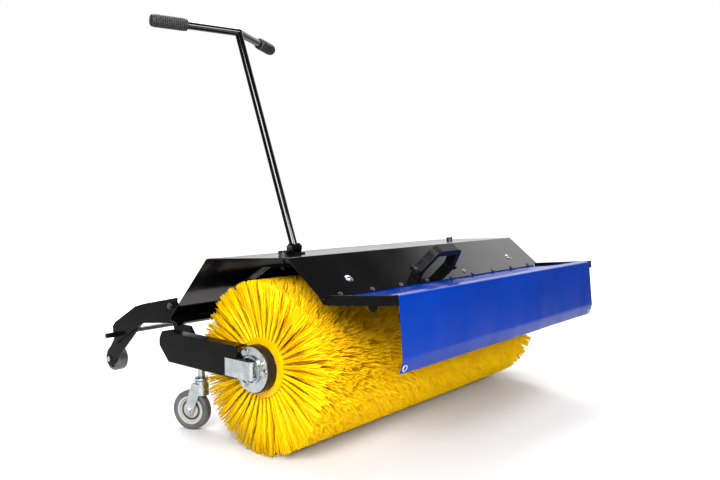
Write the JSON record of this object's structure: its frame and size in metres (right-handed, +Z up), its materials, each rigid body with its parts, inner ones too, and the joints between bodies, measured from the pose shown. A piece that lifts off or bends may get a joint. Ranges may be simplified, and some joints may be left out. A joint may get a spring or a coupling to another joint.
{
  "type": "rotary sweeper broom",
  "caption": "Powered rotary broom with a bristle roller, folded sheet hood, hanging tarpaulin flap, leaning push handle, swivel casters and a lifting rear hitch.",
  "frame": {"origin": "bottom centre of the whole machine's box, on the floor", "axes": "+X along the brush to the drive end, +Y to the rear hitch, +Z up"},
  "size_m": [1.4258, 1.3734, 1.2751],
  "materials": {
    "black_steel": "gloss black powder coat on sheet and tube",
    "zinc": "bright zinc plate",
    "machined_steel": "turned and ground bare steel",
    "dark_fastener": "blackened steel fasteners",
    "bristle_yellow": "bright yellow polypropylene bristle",
    "ring_yellow": "moulded yellow plastic rings",
    "tarpaulin": "royal blue coated tarpaulin, glossy",
    "grip_rubber": "ribbed dark grey rubber",
    "black_plastic": "moulded black plastic",
    "housing_black": "black plastic dust housing",
    "grey_tyre": "grey non-marking rubber tread",
    "grey_hub": "light grey moulded wheel centre",
    "roller_grey": "dark grey moulded roller",
    "gear_casting": "dark painted casting"
  },
  "bodies": {
    "frame": {"arm_left": "black_steel", "arm_right": "black_steel", "rear_beam": "black_steel", "hood": "black_steel", "hood_arch_left": "black_steel", "hood_arch_right": "black_steel", "flap_bracket_left": "black_steel", "flap_bracket_right": "black_steel", "flap_bar": "black_steel", "handle_foot": "black_steel", "chain_case": "black_steel", "chain_cover": "black_steel", "hood_bolts": "zinc", "handle_bolt": "zinc", "hub_bracket": "zinc", "hub_disc_left": "zinc", "hub_disc_right": "zinc", "hub_bolts": "zinc", "caster_stems": "zinc", "hub_bearings": "machined_steel", "drive_chain": "machined_steel", "clamp_knobs": "dark_fastener", "hood_screws": "dark_fastener", "hitch_bolts": "dark_fastener", "tarp_top": "tarpaulin", "grab_handle": "black_plastic", "bearing_housing_left": "housing_black", "bearing_housing_right": "housing_black", "gearbox_case": "gear_casting", "gearbox_cover": "gear_casting"},
    "brush": {"brush_core": "machined_steel", "brush_rings": "ring_yellow", "bristles": "bristle_yellow", "brush_shafts": "machined_steel", "brush_sprocket": "machined_steel"},
    "cross_drive": {"cross_shaft": "machined_steel", "drive_sprocket": "machined_steel", "bevel_gear_out": "machined_steel"},
    "input_drive": {"input_shaft": "machined_steel", "bevel_gear_in": "machined_steel"},
    "caster_left": {"caster_fork_left": "zinc", "caster_axle_left": "zinc"},
    "caster_right": {"caster_fork_right": "zinc", "caster_axle_right": "zinc"},
    "wheel_left": {"caster_hub_left": "grey_hub", "caster_tyre_left": "grey_tyre"},
    "wheel_right": {"caster_hub_right": "grey_hub", "caster_tyre_right": "grey_tyre"},
    "hitch": {"hitch_arm_left": "black_steel", "hitch_arm_right": "black_steel", "hitch_rod": "machined_steel", "hitch_pins": "black_steel", "roller_bolts": "zinc"},
    "hitch_roller_left": {"roller_left": "roller_grey"},
    "hitch_roller_right": {"roller_right": "roller_grey"},
    "handle": {"handle_tee": "black_steel", "grip_left": "grip_rubber", "grip_right": "grip_rubber"},
    "flap": {"tarp_curtain": "tarpaulin", "grommets": "zinc"}
  },
  "joints": [
    {"name": "brush_spin", "type": "hinge", "parent": "frame", "child": "brush", "pos_m": [-0.00012, -0.21, 0.25], "axis": [1, 0, 0], "continuous": true},
    {"name": "cross_shaft_spin", "type": "hinge", "parent": "frame", "child": "cross_drive", "pos_m": [-0.00012, 0.182, 0.292], "axis": [1, 0, 0], "continuous": true},
    {"name": "input_shaft_spin", "type": "hinge", "parent": "frame", "child": "input_drive", "pos_m": [-0.00012, 0.29, 0.292], "axis": [0, 1, 0], "continuous": true},
    {"name": "caster_swivel_left", "type": "hinge", "parent": "frame", "child": "caster_left", "pos_m": [-0.58012, 0.09, 0.15], "axis": [0, 0, 1], "continuous": true},
    {"name": "caster_swivel_right", "type": "hinge", "parent": "frame", "child": "caster_right", "pos_m": [0.57988, 0.09, 0.15], "axis": [0, 0, 1], "continuous": true},
    {"name": "caster_roll_left", "type": "hinge", "parent": "caster_left", "child": "wheel_left", "pos_m": [-0.59267, 0.12268, 0.0625], "axis": [0.9336, 0.3584, 0], "continuous": true},
    {"name": "caster_roll_right", "type": "hinge", "parent": "caster_right", "child": "wheel_right", "pos_m": [0.56733, 0.12268, 0.0625], "axis": [0.9336, 0.3584, 0], "continuous": true},
    {"name": "hitch_lift", "type": "hinge", "parent": "frame", "child": "hitch", "pos_m": [-0.00012, 0.24768, 0.377], "axis": [1, 0, 0], "range_deg": [0, 20]},
    {"name": "hitch_roller_spin_left", "type": "hinge", "parent": "hitch", "child": "hitch_roller_left", "pos_m": [-0.54512, 0.64167, 0.142], "axis": [1, 0, 0], "continuous": true},
    {"name": "hitch_roller_spin_right", "type": "hinge", "parent": "hitch", "child": "hitch_roller_right", "pos_m": [0.54488, 0.64167, 0.142], "axis": [1, 0, 0], "continuous": true},
    {"name": "handle_tilt", "type": "hinge", "parent": "frame", "child": "handle", "pos_m": [-0.43712, -0.182, 0.58092], "axis": [1, 0, 0], "range_deg": [-20, 25]},
    {"name": "flap_swing", "type": "hinge", "parent": "frame", "child": "flap", "pos_m": [-0.00012, -0.68468, 0.46832], "axis": [1, 0, 0], "range_deg": [-60, 40]}
  ],
  "couplings": [
    {"joint": "cross_shaft_spin", "follows": "brush_spin", "ratio": 2},
    {"joint": "input_shaft_spin", "follows": "brush_spin", "ratio": -2}
  ]
}
